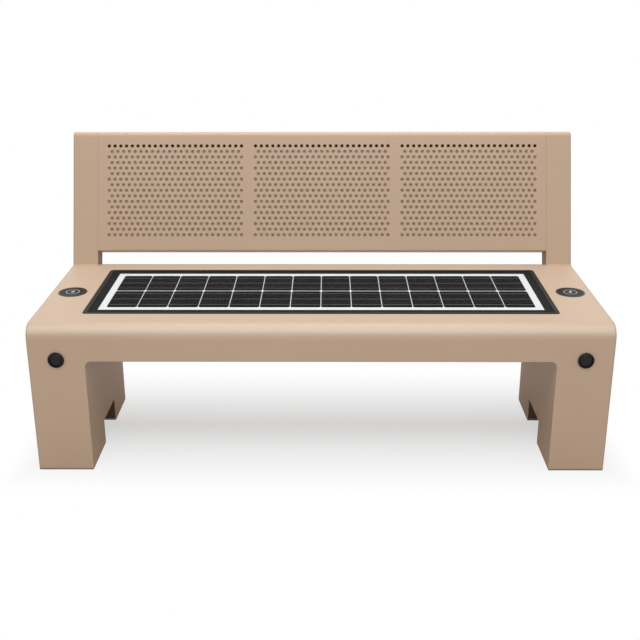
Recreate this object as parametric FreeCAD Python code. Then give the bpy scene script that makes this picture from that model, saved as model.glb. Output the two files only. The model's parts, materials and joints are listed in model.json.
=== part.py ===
import FreeCAD, Part
import math
import os

# Solar charging bench in folded 3 mm sheet, in millimetres.
# +X is to the right seen from the front, +Y runs from the front to the back, +Z is up.
# The model is drawn with the front face at Y = 0 and the ground at Z = 0, and it is
# centred in Y only when it is written out.

# Main sizes
bench_width = 1650.0
seat_height = 450.0
seat_depth = 596.0
seat_box_height = 106.0
leg_width = 160.0
leg_depth = 490.0
sheet = 3.0
plate = 4.0

# Bends of the folded sheet, measured on the outside
front_bend = 40.0
arch_bend = 17.0
arch_flange = 14.0
rear_bend = 5.0
edge_round = 2.0
rear_lip = 20.0

# Notch that splits the foot of each leg in two
notch_start = 171.0
notch_length = 162.0
notch_height = 80.0

# Backrest: it leans back from a line on the seat top
back_angle = 20.4
back_setback = 16.0
back_length = 445.5
back_thickness = 67.0
post_width = 82.0
post_tail_length = 90.0
foot_bend = 8.5
foot_flat = 1.0
top_bend = 18.0
post_low_bend = 9.0
panel_bottom_bend = 5.0
slot_height = 47.5
panel_gap = 0.1
top_lip = 16.0

# Perforation of the backrest: three fields of staggered holes
hole_diameter = 10.5
hole_pitch = 19.1
hole_row_pitch = 18.45
hole_top_margin = 49.5
hole_bottom_margin = 53.3
hole_end_margin = 37.25
hole_fields = 3
plain_strip = 46.7
liner_sheet = 1.5
liner_side_gap = 0.3
rib_width = 25.0
rib_sheet = 2.0

# Solar module and its seat in the bench
module_end_margin = 137.5
module_front = 107.5
module_rear_margin = 68.5
module_thickness = 25.5
module_proud = 0.5
module_corner = 10.0
module_rim = 12.0
module_border = 36.0
glass_thickness = 4.0
glass_step = 0.3
glass_side_gap = 0.2
glass_corner = 2.0
opening_corner = 1.0
backsheet_thickness = 2.0
gasket_width = 2.0
gasket_drop = 1.0
cell_columns = 14
cell_rows = 2
cell_end_margin = 21.5
cell_side_margin = 23.85
cell_gap = 2.3
cell_row_gap = 5.0
cell_chamfer = 5.0
cell_thickness = 0.4
ribbons_a_row = 3
ribbon_width = 1.6
ribbon_thickness = 0.2
laminate_gap = 0.2
board_clearance = 1.0
junction_length = 100.0
junction_width = 80.0
junction_bottom = 20.0
junction_x = 140.0

# Frame inside the seat box
rail_width = 40.0
rail_wall = 3.0
front_rail_start = 110.0
rear_rail_inset = 126.0
cross_height = 25.0
cross_width = 40.0
cross_wall = 2.0
cross_count = 5
cross_spacing = 280.0
cross_front_gap = 10.0
ledge_sheet = 3.0
ledge_flange = 34.0

# Wireless charging pads in the seat top
charger_inset = 65.0
charger_y = 300.0
charger_radius = 43.5
charger_flange = 1.6
charger_edge = 0.5
charger_rim = 4.7
charger_overhang = 2.5
charger_pad_thickness = 2.4
charger_pad_step = 0.2
charger_pad_gap = 0.2
charger_pad_seat = 2.6
charger_floor = 5.0
charger_depth = 30.0
charger_coil_outer = 28.0
charger_coil_inner = 12.0
charger_coil_thickness = 2.4
charger_board_thickness = 1.6
charger_board_drop = 12.0
charger_nut_wall = 7.0
charger_nut_height = 10.0
fitting_clearance = 0.3

# Sockets on the leg fronts, with a sprung cap hinged at the top
socket_drop = 100.0
socket_radius = 23.0
socket_rim = 4.0
socket_edge = 1.0
socket_flange = 4.5
socket_gasket = 1.0
socket_gasket_inset = 1.0
socket_well_depth = 3.2
socket_bore_radius = 13.0
socket_barrel_wall = 1.75
socket_length = 30.0
cap_side_gap = 1.0
cap_back_gap = 0.3
cap_thickness = 1.6
cap_bevel = 1.6
cap_button_radius = 14.0
cap_button_rise = 0.7
cap_groove = 2.2
cap_groove_depth = 1.4
cap_edge = 0.5
hinge_rise = 2.0
hinge_forward = 1.3
hinge_knuckle_radius = 1.9
hinge_knuckle_length = 11.0
hinge_ear_height = 5.0
hinge_ear_thickness = 2.0
hinge_pin_radius = 0.75
hinge_pin_length = 19.0
hinge_clearance = 0.07
hinge_slot_gap = 0.7
hinge_slot_back = 0.4
hinge_slot_below = 3.0
insert_clearance = 0.1
insert_step = 1.1
port_width = 12.6
port_height = 5.2
port_depth = 13.0
port_offset = 5.0
small_port_width = 9.2
small_port_height = 3.4
small_port_depth = 8.0
socket_nut_width = 36.0
socket_nut_height = 6.0

# Covers, feet and fasteners
foot_plate_thickness = 8.0
foot_round = 6.0
anchor_hole_radius = 7.0
anchor_spacing = 90.0
screw_radius = 3.0
screw_head_radius = 5.5
screw_head_height = 3.0
screw_length = 14.0
screw_clearance = 0.3
thread_clearance = 0.05
lug_size = 16.0
lug_depth = 12.0
cover_screw_inset = 14.0
cover_screw_low = 25.0
cover_screw_drop = 34.0
hatch_length = 400.0
hatch_width = 200.0
hatch_front = 200.0
hatch_sheet = 2.0
hatch_overlap = 16.0
vent_length = 80.0
vent_width = 5.0
vent_pitch = 14.0
vent_count = 5
vent_x = 400.0
vent_front = 375.0
bolt_radius = 5.0
bolt_head_radius = 9.0
bolt_head_height = 6.4
bolt_nut_height = 8.0
bolt_tail = 2.0
bolt_rows = (115.0, 245.0, 375.0)

# Battery and electronics in the legs
tray_wall = 2.0
tray_floor = 3.0
tray_height = 28.0
tray_side_gap = 2.8
tray_front = 120.0
tray_rear_gap = 20.0
battery_side_gap = 2.2
battery_length = 250.0
battery_height = 160.0
battery_round = 4.0
strap_width = 25.0
strap_thickness = 1.5
controller_depth = 60.0
controller_front = 200.0
controller_length = 200.0
controller_drop = 44.0
controller_height = 170.0
fin_depth = 12.0
fin_thickness = 2.5
fin_count = 9
terminal_depth = 40.0
terminal_front = 200.0
terminal_length = 80.0
terminal_rise = 16.0
terminal_height = 60.0
main_cable_diameter = 8.0
main_cable_y = 240.0
main_cable_drop = 17.0
solar_cable_diameter = 6.0
solar_cable_drop = 22.0
solar_cable_side = 15.0
lead_diameter = 5.0
pad_lead_drop = 35.0
pad_lead_bend = 40.0
pad_lead_side = 8.0
pad_lead_back = 25.0
port_lead_run = 35.0
port_lead_turn = 15.0
port_lead_fall = 40.0
port_lead_low = 30.0
port_lead_entry = 45.0
port_lead_front = 40.0
battery_lead_side = 12.0
clip_length = 12.0
clip_wall = 5.0
clip_places = (-500.0, -230.0, 230.0, 500.0)

# Places worked out from the sizes above
half_width = bench_width / 2
side_inner = half_width - sheet
leg_inner = half_width - leg_width
underside = seat_height - seat_box_height
back_foot = seat_depth - back_setback
pan_top = underside + sheet
seat_inner_top = seat_height - sheet
apron_inner = seat_depth - sheet
post_inner = half_width - post_width
leg_centre = half_width - leg_width / 2
notch_end = notch_start + notch_length
notch_ceiling = notch_height + sheet
module_length = bench_width - 2 * module_end_margin
module_width = seat_depth - module_front - module_rear_margin
module_top = seat_height + module_proud
module_bottom = module_top - module_thickness
ledge_bottom = module_bottom - ledge_sheet
cross_bottom = ledge_bottom - cross_height
rear_rail_start = seat_depth - rear_rail_inset
module_rear = module_front + module_width
module_middle = (module_front + module_rear) / 2
glass_top = module_top - glass_step
glass_bottom = glass_top - glass_thickness
backsheet_top = glass_bottom - laminate_gap - ribbon_thickness - cell_thickness
backsheet_bottom = backsheet_top - backsheet_thickness
cell_room = module_length - 2 * module_border - 2 * cell_end_margin
cell_length = (cell_room + cell_gap) / cell_columns - cell_gap
cell_depth_room = module_width - 2 * module_border - 2 * cell_side_margin
cell_width = (cell_depth_room + cell_row_gap) / cell_rows - cell_row_gap
tilt = math.radians(back_angle)
lean = math.sin(tilt)
rise = math.cos(tilt)
foot_turn = math.radians(90 - back_angle)
foot_flange = (foot_bend + sheet) * math.tan(foot_turn / 2) + foot_flat
panel_half = post_inner - panel_gap
field_length = (2 * (panel_half - hole_end_margin) - (hole_fields - 1) * plain_strip) / hole_fields
field_spacing = field_length + plain_strip
hole_columns = int(field_length / hole_pitch + 1e-6) + 1
first_row = back_length - hole_top_margin
hole_rows = int((first_row - slot_height - hole_bottom_margin) / hole_row_pitch + 1e-6) + 1
last_row = first_row - (hole_rows - 1) * hole_row_pitch
charger_x = half_width - charger_inset
charger_pad_radius = charger_radius - charger_rim - charger_pad_gap
charger_barrel_radius = charger_radius - charger_overhang
charger_barrel_inner = charger_pad_radius - charger_pad_seat
socket_height = seat_height - socket_drop
socket_well_radius = socket_radius - socket_rim
socket_barrel_radius = socket_bore_radius + socket_barrel_wall
cap_radius = socket_well_radius - cap_side_gap
well_floor = -(socket_gasket + socket_flange - socket_well_depth)
cap_back = well_floor - cap_back_gap
cap_rim = cap_back - cap_thickness
cap_face = cap_rim - cap_bevel
hinge_height = cap_radius + hinge_rise
hinge_depth = hinge_forward - cap_back
battery_width = leg_width - 2 * (sheet + tray_side_gap + tray_wall + battery_side_gap)
battery_bottom = notch_ceiling + tray_floor
terminal_bottom = battery_bottom + battery_height + terminal_rise
controller_bottom = underside - controller_drop - controller_height
main_cable_z = cross_bottom - main_cable_drop
solar_cable_z = cross_bottom - solar_cable_drop

pieces = {}


def vector(x, y, z):
    return FreeCAD.Vector(x, y, z)


def box(x, y, z):
    """Block between the low and high values given for each axis."""
    size = vector(x[1] - x[0], y[1] - y[0], z[1] - z[0])
    return Part.makeBox(size.x, size.y, size.z, vector(x[0], y[0], z[0]))


def cylinder(radius, start, end):
    axis = end - start
    return Part.makeCylinder(radius, axis.Length, start, axis)


def ring(outer, inner, start, end):
    return cylinder(outer, start, end).cut(cylinder(inner, start, end))


def tube(x, y, z, wall, along):
    """Open rectangular tube along one axis."""
    low = {"x": 0, "y": 0, "z": 0}
    inside = {"x": x, "y": y, "z": z}
    for name in low:
        if name != along:
            inside[name] = (inside[name][0] + wall, inside[name][1] - wall)
    return box(x, y, z).cut(box(inside["x"], inside["y"], inside["z"]))


def mirrored(shape):
    """The same piece on the other side of the bench's middle."""
    return shape.mirror(vector(0, 0, 0), vector(1, 0, 0))


def both(shape):
    return Part.makeCompound([mirrored(shape), shape])


def pair(name, right_shape):
    """A right piece and its left twin, each a part of its own."""
    pieces["right_" + name] = right_shape
    pieces["left_" + name] = mirrored(right_shape)


def unit(start, end):
    return (end - start).multiply(1 / (end - start).Length)


def rounded_wire(corners):
    """Closed flat wire through (a, b, radius) corners, in the XY plane."""
    edges = []
    previous_leave = None
    first_entry = None
    count = len(corners)
    for index in range(count):
        a, b, radius = corners[index]
        here = vector(a, b, 0)
        entry = here
        leave = here
        arc = None
        if radius > 0:
            before = corners[index - 1]
            after = corners[(index + 1) % count]
            back = unit(here, vector(before[0], before[1], 0))
            on = unit(here, vector(after[0], after[1], 0))
            half_turn = back.getAngle(on) / 2
            entry = here + back * (radius / math.tan(half_turn))
            leave = here + on * (radius / math.tan(half_turn))
            centre = here + unit(vector(0, 0, 0), back + on) * (radius / math.sin(half_turn))
            middle = centre + unit(centre, here) * radius
            arc = Part.Arc(entry, middle, leave).toShape()
        if previous_leave is None:
            first_entry = entry
        elif (entry - previous_leave).Length > 1e-6:
            edges.append(Part.LineSegment(previous_leave, entry).toShape())
        if arc:
            edges.append(arc)
        previous_leave = leave
    edges.append(Part.LineSegment(previous_leave, first_entry).toShape())
    return Part.Wire(edges)


def prism(corners, along, low, high):
    """Solid of a rounded outline, run from low to high along an axis.

    The outline's (a, b) are (y, z) for a run along x, (x, z) along y and (x, y) along z.
    """
    face = Part.Face(rounded_wire(corners))
    turn = {
        "x": FreeCAD.Matrix(0, 0, 1, low, 1, 0, 0, 0, 0, 1, 0, 0),
        "y": FreeCAD.Matrix(1, 0, 0, 0, 0, 0, -1, high, 0, 1, 0, 0),
        "z": FreeCAD.Matrix(1, 0, 0, 0, 0, 1, 0, 0, 0, 0, 1, low),
    }[along]
    solid = face.extrude(vector(0, 0, high - low))
    return solid.transformShape(turn, True)


def folded(path, thickness):
    """Outline of a folded sheet: its outer path of (a, b, radius), thickened to the right."""
    inner = []
    last = len(path) - 1
    for index in range(last + 1):
        a, b, radius = path[index]
        here = vector(a, b, 0)
        sides = []
        if index > 0:
            sides.append(unit(vector(path[index - 1][0], path[index - 1][1], 0), here))
        if index < last:
            sides.append(unit(here, vector(path[index + 1][0], path[index + 1][1], 0)))
        normals = [vector(way.y, -way.x, 0) for way in sides]
        if len(normals) == 1:
            shift = normals[0] * thickness
        else:
            spread = normals[0] + normals[1]
            shift = spread * (2 * thickness / (spread.Length ** 2))
            turns_left = sides[0].cross(sides[1]).z > 0
            if radius > 0:
                radius = radius + thickness if turns_left else radius - thickness
        inner.append((a + shift.x, b + shift.y, radius))
    return list(path) + inner[::-1]


def on_back(up, depth):
    """(y, z) of a point up the backrest, and so deep behind its front face."""
    y = back_foot + up * lean + depth * rise
    z = seat_height + up * rise - depth * lean
    return y, z


def lean_back(shape):
    """Moves a piece drawn flat, with (x, up the back, out of its front), onto the backrest."""
    turn = FreeCAD.Rotation(vector(1, 0, 0), 90 - back_angle)
    shape.Placement = FreeCAD.Placement(vector(0, back_foot, seat_height), turn)
    return shape


def back_box(x, up, depth):
    """Block on the backrest, between two depths behind its front face."""
    return lean_back(box(x, up, (-depth[1], -depth[0])))


def round_edges(shape, radius, chosen):
    """Rounds the edges whose middle point passes the test."""
    edges = []
    for edge in shape.Edges:
        middle = edge.valueAt((edge.FirstParameter + edge.LastParameter) / 2)
        ends = [vertex.Point for vertex in edge.Vertexes]
        if chosen(middle, ends):
            edges.append(edge)
    return shape.makeFillet(radius, edges)


def revolved(profile, centre, axis, side):
    """Turned piece: (radius, height) points about an axis through a centre."""
    points = [centre + side * r + axis * h for r, h in profile]
    points.append(points[0])
    face = Part.Face(Part.makePolygon(points))
    return face.revolve(centre, axis, 360)


def cable(points, diameter):
    """Round cable through the points, with an arc at each turn."""
    edges = []
    start = points[0]
    lengths = [(points[i + 1] - points[i]).Length for i in range(len(points) - 1)]
    length = 0
    for index in range(1, len(points) - 1):
        here = points[index]
        back = unit(here, points[index - 1])
        on = unit(here, points[index + 1])
        half_turn = back.getAngle(on) / 2
        reach = 0.45 * min(lengths[index - 1], lengths[index])
        radius = reach * math.tan(half_turn)
        entry = here + back * reach
        leave = here + on * reach
        centre = here + unit(vector(0, 0, 0), back + on) * (radius / math.sin(half_turn))
        middle = centre + unit(centre, here) * radius
        edges.append(Part.LineSegment(start, entry).toShape())
        edges.append(Part.Arc(entry, middle, leave).toShape())
        start = leave
    edges.append(Part.LineSegment(start, points[-1]).toShape())
    path = Part.Wire(edges)
    direction = points[1] - points[0]
    section = Part.Wire([Part.makeCircle(diameter / 2, points[0], direction)])
    body = path.makePipeShell([section], True, False)
    expected = math.pi * diameter ** 2 / 4 * path.Length
    print("cable", round(path.Length, 1), "mm, volume ratio", round(body.Volume / expected, 4))
    return body


def hexagon(width, low, high, centre, hole_radius):
    """Nut along Y round a centre (x, z)."""
    corner = width / math.sqrt(3)
    outline = []
    for index in range(6):
        angle = math.radians(60 * index)
        outline.append((centre[0] + corner * math.cos(angle), centre[1] + corner * math.sin(angle), 0))
    body = prism(outline, "y", low, high)
    hole = cylinder(hole_radius, vector(centre[0], low, centre[1]), vector(centre[0], high, centre[1]))
    return body.cut(hole)


def screw(seat, way):
    """Button-head screw whose head sits on `seat` and whose shank goes along `way`."""
    shank = cylinder(screw_radius, seat, seat + way * screw_length)
    head = cylinder(screw_head_radius, seat - way * screw_head_height, seat)
    crown = max(head.Edges, key=lambda edge: -edge.CenterOfMass.dot(way))
    head = head.makeFillet(screw_head_height / 3, [crown])
    return head.fuse(shank).removeSplitter()


def screw_hole(seat, way, depth, clearance):
    return cylinder(screw_radius + clearance, seat - way, seat + way * (depth + 1))


# Seat box and legs

def arch(shrink):
    """Outline of the opening between the legs, seen from the front."""
    side = leg_inner - shrink
    top = underside - shrink
    return [
        (-side, -1, 0),
        (side, -1, 0),
        (side, top, arch_bend - shrink),
        (-side, top, arch_bend - shrink),
    ]


def make_seat_shell():
    path = [
        (0, foot_plate_thickness, 0),
        (0, seat_height, front_bend),
        (seat_depth, seat_height, rear_bend),
        (seat_depth, seat_height - rear_bend - rear_lip, 0),
    ]
    shell = prism(folded(path, sheet), "x", -side_inner, side_inner)
    shell = shell.cut(prism(arch(0), "y", -1, front_bend - sheet))
    gap = gasket_width
    half = module_length / 2 + gap
    opening = [
        (-half, module_front - gap, module_corner + gap),
        (half, module_front - gap, module_corner + gap),
        (half, module_rear + gap, module_corner + gap),
        (-half, module_rear + gap, module_corner + gap),
    ]
    shell = shell.cut(prism(opening, "z", seat_inner_top - 1, seat_height + 1))
    for side in (-1, 1):
        centre = vector(side * charger_x, charger_y, seat_inner_top - 1)
        top = centre + vector(0, 0, sheet + 2)
        shell = shell.cut(cylinder(charger_barrel_radius + fitting_clearance, centre, top))
        front = vector(side * leg_centre, -1, socket_height)
        shell = shell.cut(cylinder(socket_barrel_radius + fitting_clearance, front,
                                   front + vector(0, sheet + 2, 0)))
        post = sorted((side * post_inner, side * (half_width + 1)))
        room = (seat_height - rear_bend - rear_lip - 1, seat_height + 1)
        shell = shell.cut(box(post, (back_foot - foot_flange, seat_depth + 1), room))

    def on_arch(middle, ends):
        flat = all(abs(point.y) < 1e-4 for point in ends + [middle])
        inside = abs(middle.x) < leg_inner + 0.1 and middle.z < underside + 0.1
        return flat and inside

    return round_edges(shell, edge_round, on_arch)


def side_outline():
    """Side plate seen from the side: leg, seat end and backrest post in one."""
    top_front = on_back(back_length, 0)
    top_rear = on_back(back_length, back_thickness)
    low_rear = post_low_corner()
    foot_top = foot_plate_thickness
    return [
        (0, foot_top, 0),
        (notch_start, foot_top, 0),
        (notch_start, notch_height, 0),
        (notch_end, notch_height, 0),
        (notch_end, foot_top, 0),
        (leg_depth, foot_top, 0),
        (leg_depth, underside, 0),
        (low_rear[0], low_rear[1], post_low_bend),
        (top_rear[0], top_rear[1], top_bend),
        (top_front[0], top_front[1], top_bend),
        (back_foot, seat_height, foot_bend),
        (0, seat_height, front_bend),
    ]


def post_low_corner():
    """(y, z) where the post's rear face meets the level of the underside."""
    up = (underside - seat_height + back_thickness * lean) / rise
    return on_back(up, back_thickness)


def make_end_panel():
    panel = prism(side_outline(), "x", side_inner, half_width)

    def outer_loop(middle, ends):
        outside = all(abs(point.x - half_width) < 1e-4 for point in ends + [middle])
        return outside and middle.z > foot_plate_thickness + 1e-4

    return round_edges(panel, edge_round, outer_loop)


def make_leg_inner_panel():
    turned_in = leg_inner - arch_bend - arch_flange
    path = [
        (turned_in, underside, 0),
        (leg_inner, underside, arch_bend),
        (leg_inner, foot_plate_thickness, 0),
    ]
    outline = folded(path, -sheet)
    panel = prism(outline, "y", sheet, leg_depth)
    notch = box((leg_inner - 1, leg_inner + sheet + 1), (notch_start, notch_end), (-1, notch_height))
    return panel.cut(notch)


def make_notch_liner():
    inner = leg_inner + sheet
    upright = (foot_plate_thickness, notch_ceiling)
    outside = box((inner, side_inner), (notch_start - sheet, notch_end + sheet), upright)
    inside = box((inner - 1, side_inner + 1), (notch_start, notch_end), (-1, notch_height))
    return outside.cut(inside)


def cover_screw_places():
    """Where the rear cover's screws sit, on the right leg."""
    inner = leg_inner + sheet + cover_screw_inset
    outer = side_inner - cover_screw_inset
    places = []
    for x in (inner, outer):
        for z in (cover_screw_low, underside - cover_screw_drop):
            places.append(vector(x, leg_depth, z))
    return places


def make_leg_rear_cover():
    upright = (foot_plate_thickness, underside)
    cover = box((leg_inner + sheet, side_inner), (leg_depth - sheet, leg_depth), upright)
    for place in cover_screw_places():
        cover = cover.cut(screw_hole(place, vector(0, -1, 0), sheet, screw_clearance))
    return cover


def make_cover_lugs():
    lugs = []
    rear = leg_depth - sheet
    for place in cover_screw_places():
        at_side = place.x > leg_centre
        wall = side_inner if at_side else leg_inner + sheet
        reach = place.x - lug_size / 2 if at_side else place.x + lug_size / 2
        x = sorted((wall, reach))
        z = (place.z - lug_size / 2, place.z + lug_size / 2)
        lug = box(x, (rear - lug_depth, rear), z)
        lugs.append(lug.cut(screw_hole(place, vector(0, -1, 0), sheet + lug_depth, thread_clearance)))
    return Part.makeCompound([both(lug) for lug in lugs])


def foot_block(x, y):
    """Block under a foot: edge_round at its upright corners, foot_round along the ground."""
    top = foot_plate_thickness
    front = [(x[0], 0, foot_round), (x[1], 0, foot_round), (x[1], top, 0), (x[0], top, 0)]
    side = [(y[0], 0, foot_round), (y[1], 0, foot_round), (y[1], top, 0), (y[0], top, 0)]
    above = [(x[0], y[0]), (x[1], y[0]), (x[1], y[1]), (x[0], y[1])]
    above = [corner + (edge_round,) for corner in above]
    block = prism(front, "y", y[0], y[1])
    block = block.common(prism(side, "x", x[0], x[1]))
    return block.common(prism(above, "z", 0, top))


def make_foot_plates():
    plates = []
    for span in ((0, notch_start), (notch_end, leg_depth)):
        foot = foot_block((leg_inner, half_width), span)
        middle = (span[0] + span[1]) / 2
        for offset in (-anchor_spacing / 2, anchor_spacing / 2):
            low = vector(leg_centre + offset, middle, -1)
            high = vector(leg_centre + offset, middle, foot_plate_thickness + 1)
            foot = foot.cut(cylinder(anchor_hole_radius, low, high))
        plates.append(both(foot))
        print("foot plate middle", middle)
    return Part.makeCompound(plates)


def make_rear_apron():
    top = seat_height - rear_bend - rear_lip
    apron = box((-post_inner, post_inner), (apron_inner, seat_depth), (underside, top))

    def low_rear(middle, ends):
        return abs(middle.y - seat_depth) < 1e-4 and abs(middle.z - underside) < 1e-4

    return round_edges(apron, edge_round, low_rear)


def hatch_screw_places():
    places = []
    inset = hatch_overlap / 2
    for x in (-hatch_length / 2 + inset, 0, hatch_length / 2 - inset):
        for y in (hatch_front + inset, hatch_front + hatch_width - inset):
            places.append(vector(x, y, underside - hatch_sheet))
    return places


def make_underside_pan():
    narrow = leg_inner - arch_bend - arch_flange
    outline = [
        (-narrow, sheet, 0),
        (narrow, sheet, 0),
        (narrow, leg_depth, 0),
        (post_inner, leg_depth, 0),
        (post_inner, apron_inner, 0),
        (-post_inner, apron_inner, 0),
        (-post_inner, leg_depth, 0),
        (-narrow, leg_depth, 0),
    ]
    pan = prism(outline, "z", underside, pan_top)
    x = (-hatch_length / 2 + hatch_overlap, hatch_length / 2 - hatch_overlap)
    y = (hatch_front + hatch_overlap, hatch_front + hatch_width - hatch_overlap)
    pan = pan.cut(box(x, y, (underside - 1, pan_top + 1)))
    for place in hatch_screw_places():
        pan = pan.cut(screw_hole(place, vector(0, 0, 1), hatch_sheet + sheet, thread_clearance))
    for side in (-1, 1):
        for index in range(vent_count):
            start = vent_front + index * vent_pitch
            end = start + vent_width
            left = side * vent_x - vent_length / 2
            right = side * vent_x + vent_length / 2
            corner = vent_width / 2 - 0.01
            slot = [(left, start, corner), (right, start, corner), (right, end, corner), (left, end, corner)]
            pan = pan.cut(prism(slot, "z", underside - 1, pan_top + 1))
    return pan


def make_service_cover():
    half = hatch_length / 2
    cover = box((-half, half), (hatch_front, hatch_front + hatch_width), (underside - hatch_sheet, underside))
    for place in hatch_screw_places():
        cover = cover.cut(screw_hole(place, vector(0, 0, 1), hatch_sheet, screw_clearance))
    return cover


# Frame inside the seat box

def make_front_rail():
    y = (front_rail_start, front_rail_start + rail_width)
    return tube((-side_inner, side_inner), y, (pan_top, cross_bottom), rail_wall, "x")


def make_rear_rail():
    y = (rear_rail_start, rear_rail_start + rail_width)
    return tube((-post_inner, post_inner), y, (pan_top, cross_bottom), rail_wall, "x")


def cross_places():
    middle = (cross_count - 1) / 2
    return [(index - middle) * cross_spacing for index in range(cross_count)]


def make_cross_members():
    members = []
    for x in cross_places():
        across = (x - cross_width / 2, x + cross_width / 2)
        members.append(tube(across, (cross_front_gap, apron_inner), (cross_bottom, ledge_bottom),
                            cross_wall, "y"))
    return Part.makeCompound(members)


def module_area(inset, corner):
    """Outline of the module seen from above, drawn in by an inset."""
    half = module_length / 2 - inset
    front = module_front + inset
    rear = module_rear - inset
    return [(-half, front, corner), (half, front, corner), (half, rear, corner), (-half, rear, corner)]


def make_module_ledge():
    gap = gasket_width
    corner = module_corner + gap
    wall = prism(module_area(-gap - ledge_sheet, corner + ledge_sheet), "z", ledge_bottom, seat_inner_top)
    room = prism(module_area(-gap, corner), "z", module_bottom, seat_inner_top + 1)
    opening = prism(module_area(ledge_flange, 0), "z", ledge_bottom - 1, module_bottom + 1)
    return wall.cut(room).cut(opening)


# Solar module

def make_module_gasket():
    outer = prism(module_area(-gasket_width, module_corner + gasket_width), "z",
                  module_bottom, seat_height - gasket_drop)
    inner = prism(module_area(0, module_corner), "z", module_bottom - 1, seat_height)
    return outer.cut(inner)


def make_solar_frame():
    body = prism(module_area(0, module_corner), "z", module_bottom, module_top)
    pocket = prism(module_area(module_rim, glass_corner), "z", glass_bottom, module_top + 1)
    opening = prism(module_area(module_border, opening_corner), "z", module_bottom - 1, glass_bottom + 1)
    frame = body.cut(pocket).cut(opening)

    def top_edge(middle, ends):
        return abs(middle.z - module_top) < 1e-4

    return round_edges(frame, module_proud, top_edge)


def make_solar_glass():
    return prism(module_area(module_rim + glass_side_gap, glass_corner), "z", glass_bottom, glass_top)


def make_solar_backsheet():
    inset = module_border + glass_side_gap
    return prism(module_area(inset, opening_corner), "z", backsheet_bottom, backsheet_top)


def cell_centres():
    centres = []
    for column in range(cell_columns):
        for row in range(cell_rows):
            x = (column - (cell_columns - 1) / 2) * (cell_length + cell_gap)
            y = module_middle + (row - (cell_rows - 1) / 2) * (cell_width + cell_row_gap)
            centres.append((x, y))
    return centres


def make_solar_cells():
    cells = []
    half = cell_length / 2
    deep = cell_width / 2
    cut = cell_chamfer
    shape = [
        (-half + cut, -deep), (half - cut, -deep), (half, -deep + cut), (half, deep - cut),
        (half - cut, deep), (-half + cut, deep), (-half, deep - cut), (-half, -deep + cut),
    ]
    for x, y in cell_centres():
        outline = [(x + a, y + b, 0) for a, b in shape]
        cells.append(prism(outline, "z", backsheet_top, backsheet_top + cell_thickness))
    return Part.makeCompound(cells)


def make_cell_ribbons():
    ribbons = []
    half = (cell_columns * (cell_length + cell_gap) - cell_gap) / 2
    bottom = backsheet_top + cell_thickness
    for row in range(cell_rows):
        row_middle = module_middle + (row - (cell_rows - 1) / 2) * (cell_width + cell_row_gap)
        for index in range(ribbons_a_row):
            share = (index + 0.5) / ribbons_a_row - 0.5
            y = row_middle + share * cell_width
            ribbons.append(box((-half, half), (y - ribbon_width / 2, y + ribbon_width / 2),
                               (bottom, bottom + ribbon_thickness)))
    return Part.makeCompound(ribbons)


def junction_span():
    x = (junction_x - junction_length / 2, junction_x + junction_length / 2)
    y = (module_middle - junction_width / 2, module_middle + junction_width / 2)
    return x, y


def make_support_board():
    inset = module_border + board_clearance
    board = prism(module_area(inset, opening_corner), "z", ledge_bottom, backsheet_bottom)
    x, y = junction_span()
    room = box((x[0] - 1, x[1] + 1), (y[0] - 1, y[1] + 1), (ledge_bottom - 1, backsheet_bottom + 1))
    return board.cut(room)


def make_junction_box():
    x, y = junction_span()
    body = box(x, y, (ledge_bottom - junction_bottom, backsheet_bottom))

    def low_loop(middle, ends):
        return abs(middle.z - (ledge_bottom - junction_bottom)) < 1e-4

    return round_edges(body, edge_round, low_loop)


# Backrest

def post_path():
    """Outer path of the sheet that wraps a post, from the seat over the top to the underside."""
    top_front = on_back(back_length, 0)
    top_rear = on_back(back_length, back_thickness)
    low_rear = post_low_corner()
    return [
        (back_foot - foot_flange, seat_height, 0),
        (back_foot, seat_height, foot_bend),
        (top_front[0], top_front[1], top_bend),
        (top_rear[0], top_rear[1], top_bend),
        (low_rear[0], low_rear[1], post_low_bend),
        (leg_depth, underside, 0),
    ]


def make_post_shell():
    return prism(folded(post_path(), sheet), "x", post_inner, side_inner)


def make_post_inner_plate():
    outline = folded(post_path(), sheet)
    inner = outline[len(outline) // 2:]
    low_front = inner[0]
    top_start = inner[-1]
    tail = leg_depth - post_tail_length
    corners = [(tail, low_front[1], 0), (tail, top_start[1], 0)]
    corners += [inner[4], inner[3], inner[2], inner[1]]
    body = prism(corners, "x", post_inner, post_inner + plate)
    for bolt in post_bolt_holes():
        body = body.cut(bolt)
    return body


def bolt_line(up, low_x, high_x, radius):
    y, z = on_back(up, back_thickness / 2)
    return cylinder(radius, vector(low_x, y, z), vector(high_x, y, z))


def post_bolt_holes():
    radius = bolt_radius + screw_clearance
    return [bolt_line(up, post_inner - 20, post_inner + 20, radius) for up in bolt_rows]


def make_backrest_bolts():
    bolts = []
    web_inner = panel_half - rib_sheet
    for up in bolt_rows:
        shank = bolt_line(up, web_inner - bolt_nut_height - bolt_tail, post_inner + plate, bolt_radius)
        head = bolt_line(up, post_inner + plate, post_inner + plate + bolt_head_height, bolt_head_radius)
        bolt = shank.fuse(head).removeSplitter()
        nut = bolt_line(up, web_inner - bolt_nut_height, web_inner, bolt_head_radius)
        nut = nut.cut(bolt_line(up, 0, post_inner, bolt_radius + thread_clearance))
        bolts += [both(bolt), both(nut)]
    return Part.makeCompound(bolts)


def hole_places():
    """Centres of the backrest's holes, as (x, up the back)."""
    places = []
    for field in range(hole_fields):
        middle = (field - (hole_fields - 1) / 2) * field_spacing
        for row in range(hole_rows):
            columns = hole_columns - row % 2
            up = first_row - row * hole_row_pitch
            for column in range(columns):
                places.append((middle + (column - (columns - 1) / 2) * hole_pitch, up))
    return places


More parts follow.
